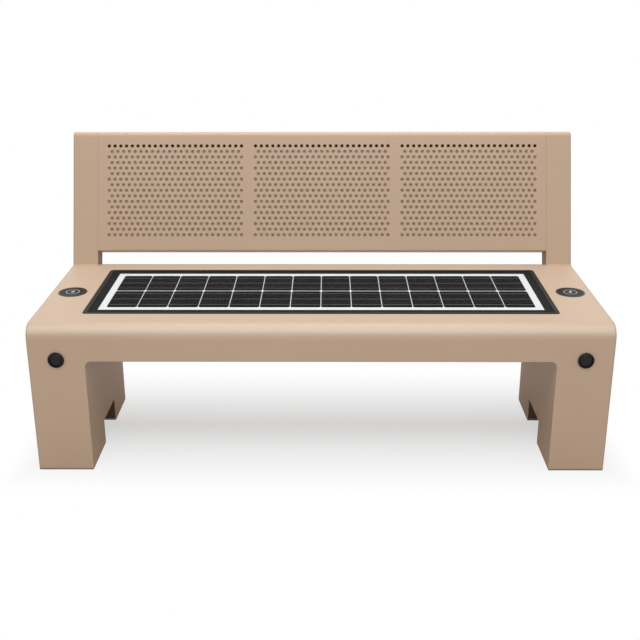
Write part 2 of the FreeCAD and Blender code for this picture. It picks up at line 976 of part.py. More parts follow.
def make_backrest_front_sheet():
    low = slot_height + panel_bottom_bend
    high = back_length - top_bend
    outer = Part.makePolygon([
        vector(-panel_half, low, 0), vector(panel_half, low, 0),
        vector(panel_half, high, 0), vector(-panel_half, high, 0), vector(-panel_half, low, 0),
    ])
    holes = []
    for x, up in hole_places():
        hole = Part.Wire([Part.makeCircle(hole_diameter / 2, vector(x, up, 0))])
        hole.reverse()
        holes.append(hole)
    face = Part.Face([outer] + holes)
    flat = lean_back(face.extrude(vector(0, 0, -sheet)))
    top_path = [
        on_back(high, 0) + (0,),
        on_back(back_length, 0) + (top_bend,),
        on_back(back_length, back_thickness) + (top_bend,),
        on_back(back_length - top_bend - top_lip, back_thickness) + (0,),
    ]
    low_path = [
        on_back(slot_height, back_thickness) + (0,),
        on_back(slot_height, 0) + (panel_bottom_bend,),
        on_back(low, 0) + (0,),
    ]
    top = prism(folded(top_path, sheet), "x", -panel_half, panel_half)
    bottom = prism(folded(low_path, sheet), "x", -panel_half, panel_half)
    return flat.fuse([top, bottom])


def rear_sheet_span():
    return (slot_height + sheet, back_length - top_bend - top_lip)


def rear_screw_places():
    low, high = rear_sheet_span()
    places = []
    inset = cover_screw_inset
    for x in rib_places():
        for up in (low + inset, (low + high) / 2, high - inset):
            y, z = on_back(up, back_thickness)
            places.append(vector(x, y, z))
    return places


def front_way():
    return vector(0, -rise, lean)


def make_backrest_rear_sheet():
    rear = back_box((-panel_half, panel_half), rear_sheet_span(), (back_thickness - sheet, back_thickness))
    for place in rear_screw_places():
        rear = rear.cut(screw_hole(place, front_way(), sheet, screw_clearance))
    return rear


def rib_places():
    """Middle of each rib: in the plain strips and at the panel's ends."""
    strip = field_spacing / 2
    end = panel_half - rib_width / 2
    return [-end, -strip, strip, end]


def make_backrest_ribs():
    ribs = []
    up = (slot_height + panel_bottom_bend, back_length - top_bend)
    depth = (sheet, back_thickness - sheet)
    for x in rib_places():
        across = (x - rib_width / 2, x + rib_width / 2)
        rib = back_box(across, up, depth)
        web = rib_sheet
        inside = (across[0] + web, across[1] + 1) if x < 0 else (across[0] - 1, across[1] - web)
        rib = rib.cut(back_box(inside, (up[0] - 1, up[1] + 1), (depth[0] + web, depth[1] - web)))
        ribs.append(rib)
    body = Part.makeCompound(ribs)
    for bolt in post_bolt_holes():
        body = body.cut(both(bolt))
    for place in rear_screw_places():
        body = body.cut(screw_hole(place, front_way(), sheet + rib_sheet, thread_clearance))
    return body


def make_backrest_liners():
    """Thin sheets against the back of the front sheet, behind all rows of holes but the first."""
    liners = []
    half = (field_spacing - rib_width) / 2 - liner_side_gap
    up = (last_row - hole_row_pitch / 2, first_row - hole_row_pitch / 2)
    for field in range(hole_fields):
        middle = (field - (hole_fields - 1) / 2) * field_spacing
        x = (middle - half, middle + half)
        liners.append(back_box(x, up, (sheet, sheet + liner_sheet)))
    return Part.makeCompound(liners)


# Wireless charging pads

def charger_middle():
    return vector(charger_x, charger_y, 0)


def make_charger_bezel():
    inner = charger_barrel_inner
    top = seat_height + charger_flange
    shoulder = charger_shoulder()
    floor = seat_height - charger_depth
    edge = charger_edge
    recess = charger_pad_radius + charger_pad_gap
    profile = [
        (0, floor), (charger_barrel_radius, floor), (charger_barrel_radius, seat_height),
        (charger_radius, seat_height), (charger_radius, top - edge), (charger_radius - edge, top),
        (recess, top), (recess, shoulder),
        (inner, shoulder), (inner, floor + charger_floor), (0, floor + charger_floor),
    ]
    return revolved(profile, charger_middle(), vector(0, 0, 1), vector(1, 0, 0))


def charger_disc(radius, top, thickness):
    middle = charger_middle()
    return cylinder(radius, middle + vector(0, 0, top - thickness), middle + vector(0, 0, top))


def charger_shoulder():
    return seat_height + charger_flange - charger_pad_step - charger_pad_thickness


def make_charger_pad():
    return charger_disc(charger_pad_radius, charger_shoulder() + charger_pad_thickness, charger_pad_thickness)


def make_charger_coils():
    low = charger_middle() + vector(0, 0, charger_shoulder() - charger_coil_thickness)
    high = charger_middle() + vector(0, 0, charger_shoulder())
    return both(ring(charger_coil_outer, charger_coil_inner, low, high))


def make_charger_boards():
    radius = charger_barrel_inner - charger_pad_gap
    return both(charger_disc(radius, seat_height - charger_board_drop, charger_board_thickness))


def make_charger_nuts():
    low = charger_middle() + vector(0, 0, seat_inner_top - charger_nut_height)
    high = charger_middle() + vector(0, 0, seat_inner_top)
    outer = charger_barrel_radius + charger_nut_wall
    return both(ring(outer, charger_barrel_radius + thread_clearance, low, high))


# Sockets

def socket_middle():
    return vector(leg_centre, 0, socket_height)


def socket_slot(depth_to):
    """Room for the cap's hinge, through the bezel's rim."""
    half = hinge_knuckle_length / 2 + hinge_slot_gap
    x = (leg_centre - half, leg_centre + half)
    low = socket_height + hinge_height - hinge_ear_height - hinge_slot_below
    front = -(socket_gasket + socket_flange)
    return box(x, (front - 1, depth_to), (low, socket_height + socket_radius + 1))


def hinge_line(radius, length):
    start = vector(leg_centre - length / 2, -hinge_depth, socket_height + hinge_height)
    return cylinder(radius, start, start + vector(length, 0, 0))


def make_socket_bezel():
    front = socket_gasket + socket_flange
    edge = socket_edge
    profile = [
        (socket_bore_radius, -socket_length), (socket_barrel_radius, -socket_length),
        (socket_barrel_radius, socket_gasket), (socket_radius, socket_gasket),
        (socket_radius, front - edge), (socket_radius - edge, front),
        (socket_well_radius, front), (socket_well_radius, -well_floor),
        (socket_bore_radius, -well_floor),
    ]
    bezel = revolved(profile, socket_middle(), vector(0, -1, 0), vector(1, 0, 0))
    knuckle_back = -hinge_depth + hinge_knuckle_radius
    bezel = bezel.cut(socket_slot(knuckle_back + hinge_slot_back))
    return bezel.cut(hinge_line(hinge_pin_radius + thread_clearance, hinge_pin_length))


def make_socket_cap():
    groove_inner = cap_button_radius
    groove_outer = cap_button_radius + cap_groove
    button = -cap_face + cap_button_rise
    profile = [
        (0, -cap_back), (cap_radius, -cap_back), (cap_radius, -cap_rim), (groove_outer, -cap_face),
        (groove_outer, -cap_face - cap_groove_depth), (groove_inner, -cap_face - cap_groove_depth),
        (groove_inner, button - cap_edge), (groove_inner - cap_edge, button), (0, button),
    ]
    disc = revolved(profile, socket_middle(), vector(0, -1, 0), vector(1, 0, 0))
    half = hinge_knuckle_length / 2
    top = socket_height + hinge_height
    thick = hinge_ear_thickness / 2
    ear = box((leg_centre - half, leg_centre + half),
              (-hinge_depth - thick, -hinge_depth + thick), (top - hinge_ear_height, top))
    cap = disc.fuse([ear, hinge_line(hinge_knuckle_radius, hinge_knuckle_length)]).removeSplitter()
    return cap.cut(hinge_line(hinge_pin_radius + hinge_clearance, hinge_knuckle_length + 2))


def make_cap_hinge_pins():
    return both(hinge_line(hinge_pin_radius, hinge_pin_length))


def make_usb_insert():
    front = well_floor + insert_step
    middle = socket_middle()
    radius = socket_bore_radius - insert_clearance
    body = cylinder(radius, middle + vector(0, front, 0), middle + vector(0, socket_length, 0))
    ports = (
        (port_width, port_height, port_depth, port_offset),
        (small_port_width, small_port_height, small_port_depth, -port_offset),
    )
    for width, height, depth, offset in ports:
        x = (leg_centre - width / 2, leg_centre + width / 2)
        z = (socket_height + offset - height / 2, socket_height + offset + height / 2)
        body = body.cut(box(x, (front - 1, front + depth), z))
    return body


def make_socket_gaskets():
    middle = socket_middle()
    inner = socket_barrel_radius + thread_clearance
    outer = socket_radius - socket_gasket_inset
    return both(ring(outer, inner, middle - vector(0, socket_gasket, 0), middle))


def make_socket_nuts():
    inner = socket_barrel_radius + thread_clearance
    nut = hexagon(socket_nut_width, sheet, sheet + socket_nut_height, (leg_centre, socket_height), inner)
    return both(nut)


# Battery, electronics and wiring

def make_battery_tray():
    x = (leg_inner + sheet + tray_side_gap, side_inner - tray_side_gap)
    y = (tray_front, leg_depth - tray_rear_gap)
    z = (notch_ceiling, notch_ceiling + tray_height)
    outside = box(x, y, z)
    wall = tray_wall
    floor = z[0] + tray_floor
    inside = box((x[0] + wall, x[1] - wall), (y[0] + wall, y[1] - wall), (floor, z[1] + 1))
    return outside.cut(inside)


def battery_span():
    x = (leg_centre - battery_width / 2, leg_centre + battery_width / 2)
    middle = (tray_front + leg_depth - tray_rear_gap) / 2
    y = (middle - battery_length / 2, middle + battery_length / 2)
    return x, y, (battery_bottom, battery_bottom + battery_height)


def make_battery_pack():
    body = box(*battery_span())

    def upright(middle, ends):
        return abs(ends[0].z - ends[-1].z) > battery_height / 2

    return round_edges(body, battery_round, upright)


def make_battery_strap():
    x, y, z = battery_span()
    middle = (y[0] + y[1]) / 2
    across = (middle - strap_width / 2, middle + strap_width / 2)
    thick = strap_thickness
    outside = box((x[0] - thick, x[1] + thick), across, (z[0], z[1] + thick))
    return outside.cut(box(x, (across[0] - 1, across[1] + 1), (z[0] - 1, z[1])))


def controller_x():
    """Left leg: from the inner panel's inside face towards the side plate."""
    wall = -(leg_inner + sheet)
    return (wall - controller_depth, wall)


def make_charge_controller():
    x = controller_x()
    y = (controller_front, controller_front + controller_length)
    z = (controller_bottom, controller_bottom + controller_height)
    fins = []
    for index in range(fin_count):
        start = y[0] + (controller_length - fin_thickness) * index / (fin_count - 1)
        fins.append(box((x[0] - fin_depth, x[0]), (start, start + fin_thickness), z))
    return box(x, y, z).fuse(fins).removeSplitter()


def make_terminal_box():
    wall = leg_inner + sheet
    y = (terminal_front, terminal_front + terminal_length)
    z = (terminal_bottom, terminal_bottom + terminal_height)
    return box((wall, wall + terminal_depth), y, z)


def terminal_point():
    x = leg_inner + sheet + terminal_depth / 2
    return vector(x, main_cable_y, terminal_bottom + terminal_height)


def controller_point():
    x = controller_x()
    return vector((x[0] + x[1]) / 2, main_cable_y, controller_bottom + controller_height)


def main_cable():
    start = controller_point()
    end = terminal_point()
    points = [start, vector(start.x, start.y, main_cable_z), vector(end.x, end.y, main_cable_z), end]
    return cable(points, main_cable_diameter)


def solar_cable():
    bottom = ledge_bottom - junction_bottom
    start = vector(junction_x, module_middle, bottom)
    end = controller_point()
    turn_x = end.x - solar_cable_side
    points = [
        start,
        vector(start.x, start.y, solar_cable_z),
        vector(turn_x, start.y, solar_cable_z),
        vector(turn_x, start.y, end.z),
    ]
    return cable(points, solar_cable_diameter)


def port_leads():
    """Leads of the charging pads, the sockets and the battery."""
    floor = seat_height - charger_depth
    leads = []
    terminal = terminal_point()
    controller = controller_point()
    for end, side in ((terminal, 1), (controller, -1)):
        x = side * charger_x
        landing = vector(end.x + side * pad_lead_side, end.y + pad_lead_back, end.z)
        drop = floor - pad_lead_drop
        leads.append(cable([
            vector(x, charger_y, floor),
            vector(x, charger_y, drop),
            vector(landing.x, landing.y, drop - pad_lead_bend),
            landing,
        ], lead_diameter))
        x = side * leg_centre
        front = end.y - port_lead_front
        low = end.z - port_lead_low
        run = socket_length + port_lead_run
        leads.append(cable([
            vector(x, socket_length, socket_height),
            vector(x, run, socket_height),
            vector(x, run + port_lead_turn, socket_height - port_lead_fall),
            vector(end.x, front - port_lead_entry, low),
            vector(end.x, front, low),
        ], lead_diameter))
    low = vector(terminal.x + battery_lead_side, terminal.y, battery_bottom + battery_height)
    leads.append(cylinder(lead_diameter / 2, low, vector(low.x, low.y, terminal_bottom)))
    return leads


def make_wiring():
    return Part.makeCompound([main_cable(), solar_cable()] + port_leads())


def make_cable_clips():
    clips = []
    runs = (
        (main_cable_y, main_cable_z, main_cable_diameter, clip_places),
        (module_middle, solar_cable_z, solar_cable_diameter, clip_places[:2]),
    )
    for y, z, diameter, places in runs:
        half = diameter / 2 + clip_wall
        for x in places:
            clip = box((x - clip_length / 2, x + clip_length / 2), (y - half, y + half), (pan_top, z + half))
            bore = diameter / 2 + thread_clearance
            start = vector(x - clip_length, y, z)
            clips.append(clip.cut(cylinder(bore, start, start + vector(2 * clip_length, 0, 0))))
    return Part.makeCompound(clips)


def make_cover_screws():
    screws = []
    for place in cover_screw_places():
        screws.append(both(screw(place, vector(0, -1, 0))))
    for place in hatch_screw_places():
        screws.append(screw(place, vector(0, 0, 1)))
    for place in rear_screw_places():
        screws.append(screw(place, front_way()))
    return Part.makeCompound(screws)


pieces["seat_shell"] = make_seat_shell()
pair("end_panel", make_end_panel())
pair("leg_inner_panel", make_leg_inner_panel())
pair("notch_liner", make_notch_liner())
pair("leg_rear_cover", make_leg_rear_cover())
pieces["cover_lugs"] = make_cover_lugs()
pieces["foot_plates"] = make_foot_plates()
pieces["rear_apron"] = make_rear_apron()
pieces["underside_pan"] = make_underside_pan()
pieces["service_cover"] = make_service_cover()
pieces["front_rail"] = make_front_rail()
pieces["rear_rail"] = make_rear_rail()
pieces["cross_members"] = make_cross_members()
pieces["module_ledge"] = make_module_ledge()
pieces["module_gasket"] = make_module_gasket()
pieces["solar_frame"] = make_solar_frame()
pieces["solar_glass"] = make_solar_glass()
pieces["solar_backsheet"] = make_solar_backsheet()
pieces["solar_cells"] = make_solar_cells()
pieces["cell_ribbons"] = make_cell_ribbons()
pieces["support_board"] = make_support_board()
pieces["junction_box"] = make_junction_box()
pair("post_shell", make_post_shell())
pair("post_inner_plate", make_post_inner_plate())
pieces["backrest_front_sheet"] = make_backrest_front_sheet()
pieces["backrest_rear_sheet"] = make_backrest_rear_sheet()
pieces["backrest_liners"] = make_backrest_liners()
pieces["backrest_ribs"] = make_backrest_ribs()
pieces["backrest_bolts"] = make_backrest_bolts()
pair("charger_bezel", make_charger_bezel())
pair("charger_pad", make_charger_pad())
pieces["charger_coils"] = make_charger_coils()
pieces["charger_boards"] = make_charger_boards()
pieces["charger_nuts"] = make_charger_nuts()
pair("socket_bezel", make_socket_bezel())
pair("socket_cap", make_socket_cap())
pair("usb_insert", make_usb_insert())
pieces["cap_hinge_pins"] = make_cap_hinge_pins()
pieces["socket_gaskets"] = make_socket_gaskets()
pieces["socket_nuts"] = make_socket_nuts()
pieces["battery_tray"] = make_battery_tray()
pieces["battery_pack"] = make_battery_pack()
pieces["battery_strap"] = make_battery_strap()
pieces["charge_controller"] = make_charge_controller()
pieces["terminal_box"] = make_terminal_box()
pieces["wiring"] = make_wiring()
pieces["cable_clips"] = make_cable_clips()
pieces["cover_screws"] = make_cover_screws()

# Centre the bench in Y, so that the origin is the middle of its footprint box on the ground
front_most = min(shape.BoundBox.YMin for shape in pieces.values())
rear_most = max(shape.BoundBox.YMax for shape in pieces.values())
shift = vector(0, -(front_most + rear_most) / 2, 0)
print("front", round(front_most, 3), "rear", round(rear_most, 3), "shift", round(shift.y, 4))

os.makedirs("parts", exist_ok=True)
for name, shape in pieces.items():
    shape.translate(shift)
    solids = shape.Solids
    closed = all(solid.isClosed() and solid.Volume > 0 for solid in solids)
    print(name, len(solids), "solids", "volume", round(shape.Volume), "closed" if closed else "OPEN")
    shape.exportStep("parts/" + name + ".step")
print("overall", bench_width, round(rear_most - front_most, 2), "pieces", len(pieces))
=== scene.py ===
# %% [markdown]
# # Solar charging bench
#
# The real object is a park bench folded from steel sheet. It has box legs, a leaning back
# with three fields of punched holes, a solar module let into the seat, a wireless charging
# pad at each end and a capped socket on the front of each leg.
#
# The folded sheet, the module and the sockets arrive as a finished frame. This lesson dresses
# that frame: each surface gets the finish that the real one has, and the small things that the
# eye looks for, such as screw sockets and printed signs, are modelled on top.

# %% Load the bench
import json
import math

import bpy
from mathutils import Matrix, Vector

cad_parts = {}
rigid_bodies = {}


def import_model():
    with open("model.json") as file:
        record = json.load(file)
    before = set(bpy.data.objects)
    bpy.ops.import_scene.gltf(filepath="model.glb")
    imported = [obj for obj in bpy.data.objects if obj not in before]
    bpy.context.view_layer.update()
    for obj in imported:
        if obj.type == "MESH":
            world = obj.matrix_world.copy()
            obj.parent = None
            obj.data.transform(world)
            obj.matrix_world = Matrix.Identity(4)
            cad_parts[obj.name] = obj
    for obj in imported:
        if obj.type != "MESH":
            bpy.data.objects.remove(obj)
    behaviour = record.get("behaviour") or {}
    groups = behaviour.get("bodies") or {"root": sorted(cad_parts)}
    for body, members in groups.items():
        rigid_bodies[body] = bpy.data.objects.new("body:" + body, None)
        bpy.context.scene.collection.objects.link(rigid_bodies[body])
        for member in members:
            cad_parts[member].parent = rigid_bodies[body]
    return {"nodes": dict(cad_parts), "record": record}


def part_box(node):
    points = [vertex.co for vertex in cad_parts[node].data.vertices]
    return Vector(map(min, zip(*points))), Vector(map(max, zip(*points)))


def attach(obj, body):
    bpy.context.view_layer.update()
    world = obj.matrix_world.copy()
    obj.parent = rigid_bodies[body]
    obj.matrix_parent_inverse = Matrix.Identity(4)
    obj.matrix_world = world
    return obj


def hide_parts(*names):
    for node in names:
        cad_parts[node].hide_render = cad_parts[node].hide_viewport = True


for leftover in list(bpy.data.objects):
    bpy.data.objects.remove(leftover)
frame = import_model()
bpy.ops.object.select_all(action="DESELECT")
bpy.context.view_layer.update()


# %% [markdown]
# ## The camera
#
# The bench is seen from the front and a little above, from about three metres away. The lens
# and the tilt come from the bench's own right angles: the way its long edges and its leg edges
# run together gives both. The camera stands two centimetres right of the middle and looks half a
# degree to the left. It is held an eighth of a degree off level, as a camera in the hand or on a
# rough floor is.

# %% Camera
camera_data = bpy.data.cameras.new("bench_camera")
camera_data.sensor_width = 36.0
camera_data.lens = 56.94
camera = bpy.data.objects.new("bench_camera", camera_data)
bpy.context.scene.collection.objects.link(camera)
camera.location = (0.0218, -3.0246, 1.4403)
look_down, turn_left, off_level = 20.232, 0.495, 0.126
turned = Matrix.Rotation(math.radians(turn_left), 3, "Z")
tilted = Matrix.Rotation(math.radians(90 - look_down), 3, "X")
rolled = Matrix.Rotation(math.radians(-off_level), 3, "Z")
camera.rotation_euler = (turned @ tilted @ rolled).to_euler()
bpy.context.scene.camera = camera
bpy.context.scene.view_settings.view_transform = "Standard"

# %% [markdown]
# ## Helpers for materials
#
# A colour picked on a screen is an sRGB hex value, and the renderer works in linear light, so
# the first function turns the one into the other. The second adds a node, sets its options and
# plugs in what feeds it, so that each material below reads like a list of its parts. The third
# starts a material with its plain values.

# %% Colour and node helpers
def linear(hex_value):
    channels = [int(hex_value[i:i + 2], 16) / 255 for i in (1, 3, 5)]
    return [c / 12.92 if c <= 0.04045 else ((c + 0.055) / 1.055) ** 2.4 for c in channels] + [1.0]


def add_node(tree, kind, inputs=None, **settings):
    node = tree.nodes.new(kind)
    for name, value in settings.items():
        setattr(node, name, value)
    for name, value in (inputs or {}).items():
        if isinstance(value, bpy.types.NodeSocket):
            tree.links.new(value, node.inputs[name])
        else:
            node.inputs[name].default_value = value
    return node


def new_finish(name, colour, roughness, metallic=0.0):
    """A material with its plain values set, its tree, its shader and the place on the piece."""
    material = bpy.data.materials.new(name)
    material.use_nodes = True
    tree = material.node_tree
    shader = tree.nodes["Principled BSDF"]
    shader.inputs["Base Color"].default_value = linear(colour)
    shader.inputs["Roughness"].default_value = roughness
    shader.inputs["Metallic"].default_value = metallic
    place = add_node(tree, "ShaderNodeTexCoord").outputs["Object"]
    return material, tree, shader, place


# %% [markdown]
# ## Helpers for patterns
#
# Nearly every finish below uses the same steps: a noise whose grain has a real size in
# millimetres, a mix of two close colours or roughnesses by that noise, and a bump of a real
# depth. A noise of scale s repeats about every 1/s metres, so its scale is 1000 divided by the
# grain in millimetres.

# %% Grain and tint helpers
def grain(tree, place, millimetres, detail=2.0):
    """A noise about as coarse as the given millimetres."""
    inputs = {"Vector": place, "Scale": 1000 / millimetres, "Detail": detail}
    return add_node(tree, "ShaderNodeTexNoise", inputs).outputs["Fac"]


def between(tree, factor, low, high, start=0.3, end=0.7):
    """A number or a colour that runs from low to high as the factor goes from start to end."""
    inputs = {"Value": factor, "From Min": start, "From Max": end}
    share = add_node(tree, "ShaderNodeMapRange", inputs)
    if isinstance(low, str):
        mix = add_node(tree, "ShaderNodeMix", data_type="RGBA")
        tree.links.new(share.outputs["Result"], mix.inputs[0])
        mix.inputs[6].default_value = linear(low)
        mix.inputs[7].default_value = linear(high)
        return mix.outputs[2]
    share.inputs["To Min"].default_value = low
    share.inputs["To Max"].default_value = high
    return share.outputs["Result"]


def vary(tree, shader, socket, factor, low, high, start=0.3, end=0.7):
    """Lets a value of the shader run from low to high with a pattern."""
    tree.links.new(between(tree, factor, low, high, start, end), shader.inputs[socket])


def bumped(tree, shader, height, depth_mm, strength=1.0):
    """A bump whose height is given from 0 to 1 and its depth in millimetres."""
    inputs = {"Height": height, "Distance": depth_mm / 1000, "Strength": strength}
    bump = add_node(tree, "ShaderNodeBump", inputs)
    tree.links.new(bump.outputs["Normal"], shader.inputs["Normal"])
    return bump


# %% [markdown]
# ## Powder coat
#
# The sheet is sprayed with dry polyester powder and baked. The powder melts into a skin that
# hides the steel, is satin rather than glossy, and keeps a faint orange peel of about two
# millimetres. The colour drifts a little from place to place, because the skin isn't equally
# thick. The sheet's edges are rounded by the skin, so they catch a thin line of light: a bevel
# node turns the normal near each edge by the coat's own radius.

# %% Champagne polyester powder coat
powder_coat, tree, shader, place = new_finish("champagne_polyester_powder_coat", "#C1A58A", 0.48)
shader.inputs["Specular IOR Level"].default_value = 0.62
drift = grain(tree, place, 380, 3.0)
speckle = grain(tree, place, 1.4, 1.0)
drift_colour = between(tree, drift, "#C2A68C", "#BEA187")
speckle_colour = between(tree, speckle, "#BD9F84", "#C6A98F")
speckle_share, skin_radius = 0.35, 0.0022
colour_mix = add_node(tree, "ShaderNodeMix", data_type="RGBA")
colour_mix.inputs[0].default_value = speckle_share
tree.links.new(drift_colour, colour_mix.inputs[6])
tree.links.new(speckle_colour, colour_mix.inputs[7])
tree.links.new(colour_mix.outputs[2], shader.inputs["Base Color"])
vary(tree, shader, "Roughness", grain(tree, place, 12), 0.45, 0.51)
peel = bumped(tree, shader, grain(tree, place, 2.2, 2.0), 0.05, 0.5)
skin_edge = add_node(tree, "ShaderNodeBevel", {"Radius": skin_radius}, samples=6)
tree.links.new(skin_edge.outputs["Normal"], peel.inputs["Normal"])

# %% [markdown]
# ## The painted highlight on the seat
#
# The seat's top and its front bend get a paler colour that is painted light: a painted sheen on
# the top, and a painted highlight along the bend's middle, which stands in for the broad sheen
# that light from overhead leaves there and which soft boxes alone draw too narrow. On the bend's
# middle a point is furthest up and forward at once, so its height less its depth is greatest.
# The coat is a copy of the first one, with a paler colour mixed in by that number on the bend,
# and by the height alone on the top.

# %% Coat with a painted highlight and sheen on the seat
seat_coat_painted_highlight = powder_coat.copy()
seat_coat_painted_highlight.name = "champagne_powder_coat_painted_highlight_on_seat"
tree = seat_coat_painted_highlight.node_tree
shader = tree.nodes["Principled BSDF"]
plain_coat_colour = shader.inputs["Base Color"].links[0].from_socket
front_radius = 0.04
seat_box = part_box("seat_shell")
bend_start = seat_box[1].z - seat_box[0].y - front_radius
place = add_node(tree, "ShaderNodeTexCoord").outputs["Object"]
parts_of_place = add_node(tree, "ShaderNodeSeparateXYZ", {"Vector": place}).outputs
outward = {0: parts_of_place["Z"], 1: parts_of_place["Y"]}
outward = add_node(tree, "ShaderNodeMath", outward, operation="SUBTRACT").outputs[0]
# Over the bend, outward rises by 0.414 of the radius from either end to the middle.
highlight_start, highlight_end = (bend_start + share * front_radius for share in (0.24, 0.42))
top_start, top_end = seat_box[1].z - 0.004, seat_box[1].z - 0.0005
top_painted_sheen = 0.3
# Painted light: a painted highlight on the bend's middle and a weaker painted sheen on the top.
painted_light_share = {
    0: between(tree, outward, 0.0, 1.0, highlight_start, highlight_end),
    1: between(tree, parts_of_place["Z"], 0.0, top_painted_sheen, top_start, top_end),
}
painted_light_share = add_node(tree, "ShaderNodeMath", painted_light_share, operation="MAXIMUM").outputs[0]
painted_highlight_mix = add_node(tree, "ShaderNodeMix", data_type="RGBA")
tree.links.new(painted_light_share, painted_highlight_mix.inputs[0])
tree.links.new(plain_coat_colour, painted_highlight_mix.inputs[6])
painted_highlight_mix.inputs[7].default_value = linear("#D3BFAB")
tree.links.new(painted_highlight_mix.outputs[2], shader.inputs["Base Color"])

# %% [markdown]
# ## Painted shade in hollows and at the ground
#
# The sheets behind the punched holes, the posts' inner plates and the sheets lining the notches
# in the legs get a darker and duller coat, which is painted shade: the shade that falls in these
# hollows. The last millimetres above the ground are darker too, a painted shade along the
# ground. There the colour changes with the height above the ground.

# %% Coats with painted shade behind the holes and in the notches
# A coat darkened to paint the shade of a hollow.
def painted_shade_coat(name, colour, low, high):
    material, tree, shader, place = new_finish(name, colour, 0.6)
    shader.inputs["Specular IOR Level"].default_value = 0.3
    vary(tree, shader, "Base Color", grain(tree, place, 30), low, high)
    bumped(tree, shader, grain(tree, place, 2.2, 2.0), 0.05, 0.5)
    return material


# Painted shade: darker coats for the sheets behind the holes and in the notches.
liner_painted_shade_coat = painted_shade_coat("powder_coat_painted_shade_behind_holes", "#988370", "#927D6A", "#9E8976")
notch_painted_shade_coat = painted_shade_coat("powder_coat_painted_shade_in_notches", "#604A38", "#5A4534", "#664F3D")

# %% Coat with painted shade at the ground
ground_painted_shade_coat, tree, shader, place = new_finish("powder_coat_painted_shade_at_the_ground", "#9C8570", 0.6)
height = add_node(tree, "ShaderNodeSeparateXYZ", {"Vector": place}).outputs["Z"]
shade_fade_start, shade_fade_end, unevenness = 0.003, 0.006, 0.002
uneven = {0: grain(tree, place, 25, 3.0), 1: unevenness}
uneven = add_node(tree, "ShaderNodeMath", uneven, operation="MULTIPLY").outputs[0]
height_for_shade = add_node(tree, "ShaderNodeMath", {0: height, 1: uneven}, operation="SUBTRACT").outputs[0]
# Painted shade: the colour turns dark over the last few millimetres above the ground, with an
# uneven top edge.
vary(tree, shader, "Base Color", height_for_shade, "#6B5B4D", "#C1A58A", shade_fade_start, shade_fade_end)
bumped(tree, shader, grain(tree, place, 1.5, 3.0), 0.08, 0.5)

# %% [markdown]
# ## Zinc and stainless steel
#
# The frame inside is dipped in molten zinc, which freezes into flat crystals about a centimetre
# across, each a slightly different grey. Screws and pins are stainless steel, turned on a lathe,
# with a fine satin grain.

# %% Hot-dip galvanised steel
galvanised, tree, shader, place = new_finish("hot_dip_galvanised_steel", "#A9ACB0", 0.5, 1.0)
crystals = add_node(tree, "ShaderNodeTexVoronoi", {"Vector": place, "Scale": 1000 / 11})
crystal = {"Color": crystals.outputs["Color"]}
crystal = add_node(tree, "ShaderNodeSeparateColor", crystal).outputs["Red"]
vary(tree, shader, "Base Color", crystal, "#8F9397", "#B9BCBF", 0.0, 1.0)
vary(tree, shader, "Roughness", crystal, 0.42, 0.6, 0.0, 1.0)
bumped(tree, shader, grain(tree, place, 3), 0.03, 0.4)

# %% Turned stainless steel
stainless, tree, shader, place = new_finish("turned_stainless_steel", "#B4B5B6", 0.3, 1.0)
vary(tree, shader, "Roughness", grain(tree, place, 0.8), 0.24, 0.38)
bumped(tree, shader, grain(tree, place, 0.6), 0.01, 0.4)

# %% [markdown]
# ## The solar module
#
# The module is a black anodised frame, a sheet of toughened glass with an anti-reflection coat,
# dark silicon cells soldered together with tinned ribbons, and a white backsheet that shows in
# the gaps and round the cells. Seen at this flat angle, glass lifts what lies under it, so the
# pane really bends light here. Its anti-reflection coat takes most of the mirror away, so only a
# share of the usual Fresnel gloss is left. Light on its way to the cells passes straight through,
# because bent light would reach them only as noise. A helper tells one kind of ray from another.

# %% Rays of a kind
def rays_of(tree, *kinds):
    """1 for a ray of any of the named kinds, and 0 for all others."""
    rays = add_node(tree, "ShaderNodeLightPath").outputs
    share = rays[kinds[0]]
    for kind in kinds[1:]:
        either = {0: share, 1: rays[kind]}
        share = add_node(tree, "ShaderNodeMath", either, operation="MAXIMUM").outputs[0]
    return share


# %% Black anodised aluminium
black_anodised, tree, shader, place = new_finish("black_anodised_aluminium", "#222426", 0.5, 0.2)
shader.inputs["Specular IOR Level"].default_value = 0.2
along_the_bar = {"Vector": place, "Scale": (0.04, 1.0, 1.0)}
drawn = add_node(tree, "ShaderNodeMapping", along_the_bar).outputs["Vector"]
vary(tree, shader, "Roughness", grain(tree, drawn, 1.2), 0.44, 0.58)
vary(tree, shader, "Base Color", grain(tree, place, 60), "#202224", "#252729")
bumped(tree, shader, grain(tree, drawn, 0.9), 0.01, 0.3)

# %% Coated toughened glass
module_glass, tree, shader, place = new_finish("coated_toughened_glass", "#FFFFFF", 0.1)
# Glass is built from separate shaders, so the usual one goes.
tree.nodes.remove(shader)
glass_ior, mirror_share = 1.5, 0.1
mirror = add_node(tree, "ShaderNodeBsdfGlossy", {"Color": linear("#F4F8FA"), "Roughness": 0.12})
clear_glass = {"Color": linear("#FEFFFF"), "Roughness": 0.0, "IOR": glass_ior}
pane = add_node(tree, "ShaderNodeBsdfRefraction", clear_glass)
facing = add_node(tree, "ShaderNodeFresnel", {"IOR": glass_ior}).outputs["Fac"]
coated = {0: facing, 1: mirror_share}
coated = add_node(tree, "ShaderNodeMath", coated, operation="MULTIPLY").outputs[0]
gloss = add_node(tree, "ShaderNodeMixShader", {0: coated, 1: pane.outputs[0], 2: mirror.outputs[0]})
lit = rays_of(tree, "Is Shadow Ray", "Is Diffuse Ray")
straight = add_node(tree, "ShaderNodeBsdfTransparent", {"Color": linear("#FEFFFF")})
glass = {0: lit, 1: gloss.outputs[0], 2: straight.outputs[0]}
glass = add_node(tree, "ShaderNodeMixShader", glass).outputs[0]
tree.links.new(glass, tree.nodes["Material Output"].inputs["Surface"])

